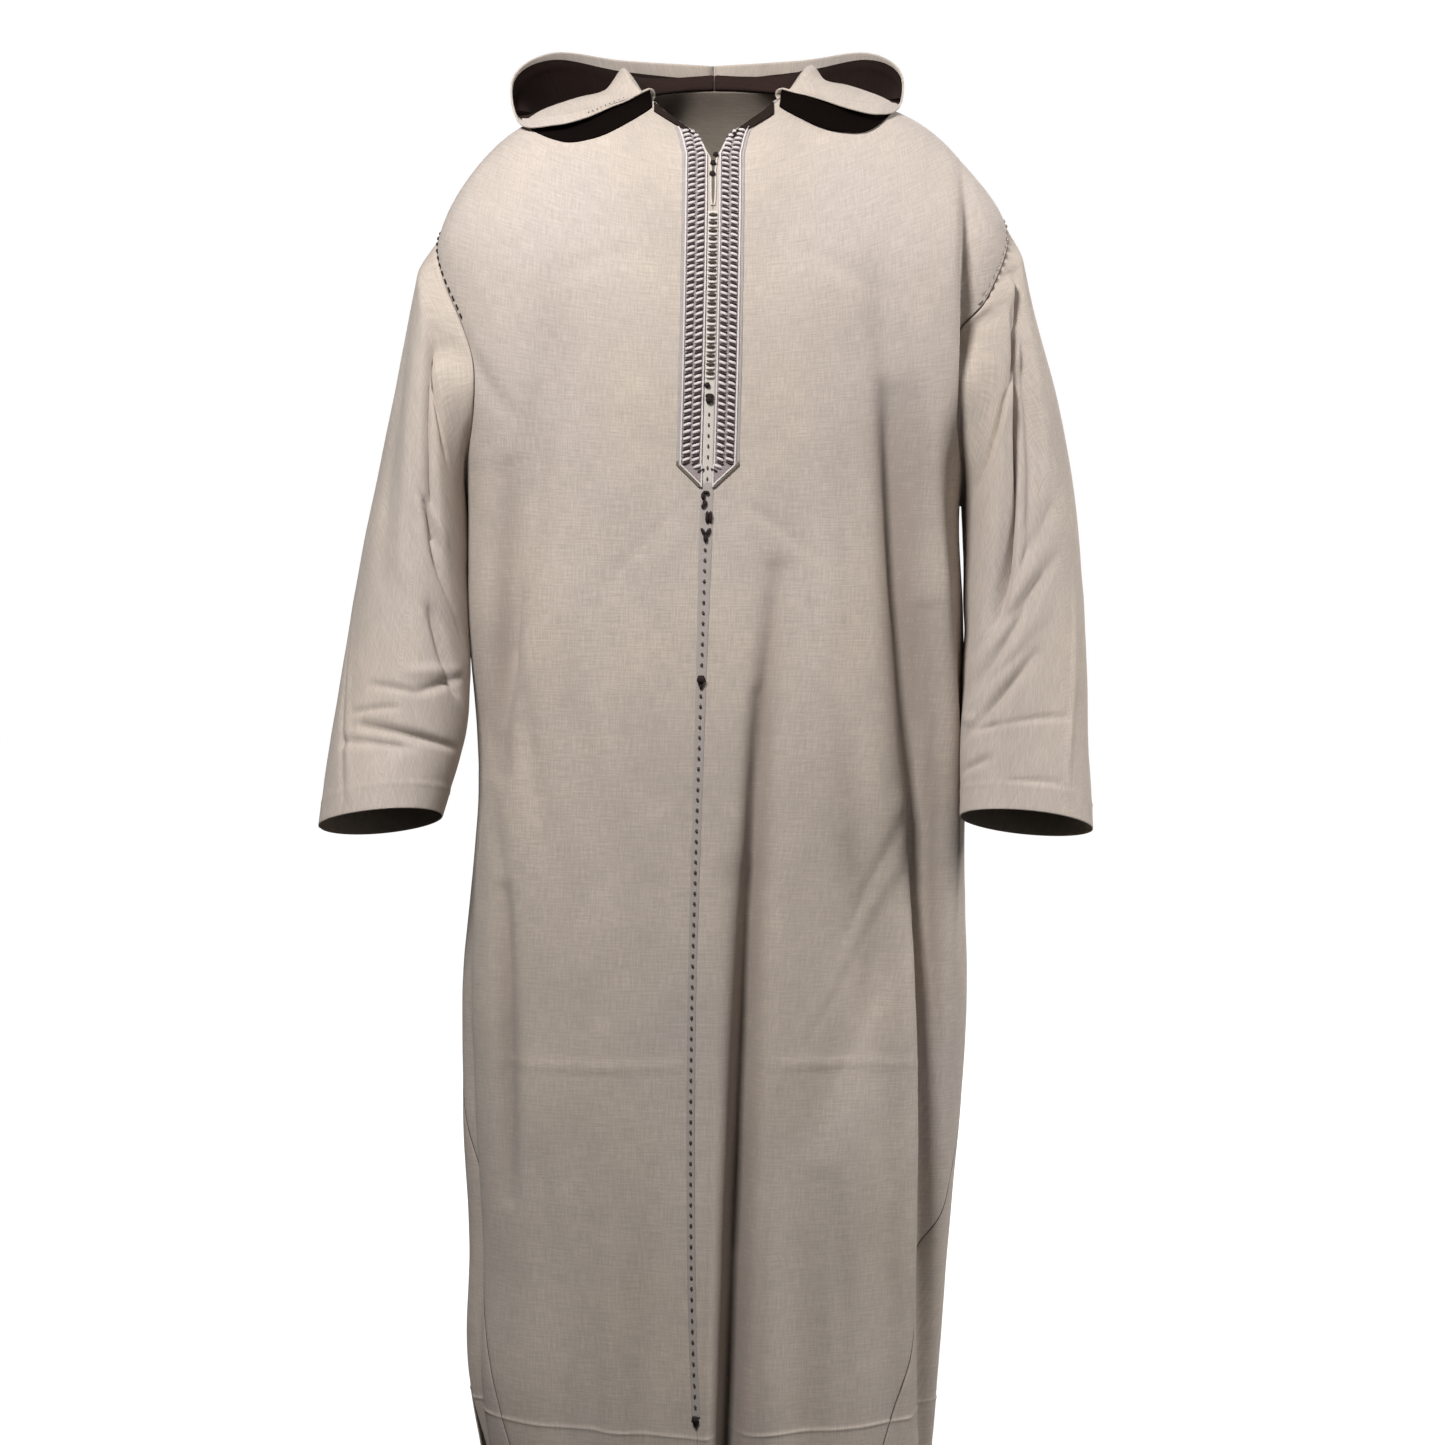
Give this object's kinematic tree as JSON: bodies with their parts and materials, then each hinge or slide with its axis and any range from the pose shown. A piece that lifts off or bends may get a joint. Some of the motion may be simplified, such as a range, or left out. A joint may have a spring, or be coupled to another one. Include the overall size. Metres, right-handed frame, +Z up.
{
  "type": "hooded djellaba robe",
  "caption": "Long loose hooded robe with wide straight sleeves, a braided button placket at the V neck, side gores and hem slits, in the hollow shape it takes when worn.",
  "frame": {"origin": "the middle of the neck opening, level with the neck ends of the two shoulder seams, where the wearer's shoulders carry the robe", "axes": "+Z up the body, -Y out of the robe's front, +X to the wearer's left, metres"},
  "size_m": [0.765, 0.343, 1.4567],
  "materials": {
    "back": "plain-woven heathered cloth, matt, warm greige",
    "back_gore_left": "plain-woven heathered cloth, matt, warm greige",
    "back_gore_right": "plain-woven heathered cloth, matt, warm greige",
    "button_row": "dark brown cord, matt",
    "front_gore_left": "plain-woven heathered cloth, matt, warm greige",
    "front_gore_right": "plain-woven heathered cloth, matt, warm greige",
    "front_left": "plain-woven heathered cloth, matt, warm greige",
    "front_right": "plain-woven heathered cloth, matt, warm greige",
    "hem_knot": "dark brown cord, matt",
    "hood_left": "plain-woven heathered cloth, matt, warm greige",
    "hood_right": "plain-woven heathered cloth, matt, warm greige",
    "motif_lower": "dark brown cord, matt",
    "motif_middle": "dark brown cord, matt",
    "motif_upper": "dark brown cord, matt",
    "neck_knots": "dark brown cord, matt",
    "placket_knot": "dark brown cord, matt",
    "placket_left": "braided cords and woven bands, matt, pale pinkish grey over dark brown",
    "placket_right": "braided cords and woven bands, matt, pale pinkish grey over dark brown",
    "sleeve_left": "plain-woven heathered cloth, matt, warm greige",
    "sleeve_right": "plain-woven heathered cloth, matt, warm greige",
    "waist_knot": "dark brown cord, matt"
  },
  "bodies": {
    "root": {"back": "back", "back_gore_left": "back_gore_left", "back_gore_right": "back_gore_right", "button_row": "button_row", "front_gore_left": "front_gore_left", "front_gore_right": "front_gore_right", "front_left": "front_left", "front_right": "front_right", "hem_knot": "hem_knot", "hood_left": "hood_left", "hood_right": "hood_right", "motif_lower": "motif_lower", "motif_middle": "motif_middle", "motif_upper": "motif_upper", "neck_knots": "neck_knots", "placket_knot": "placket_knot", "placket_left": "placket_left", "placket_right": "placket_right", "sleeve_left": "sleeve_left", "sleeve_right": "sleeve_right", "waist_knot": "waist_knot"}
  },
  "joints": []
}
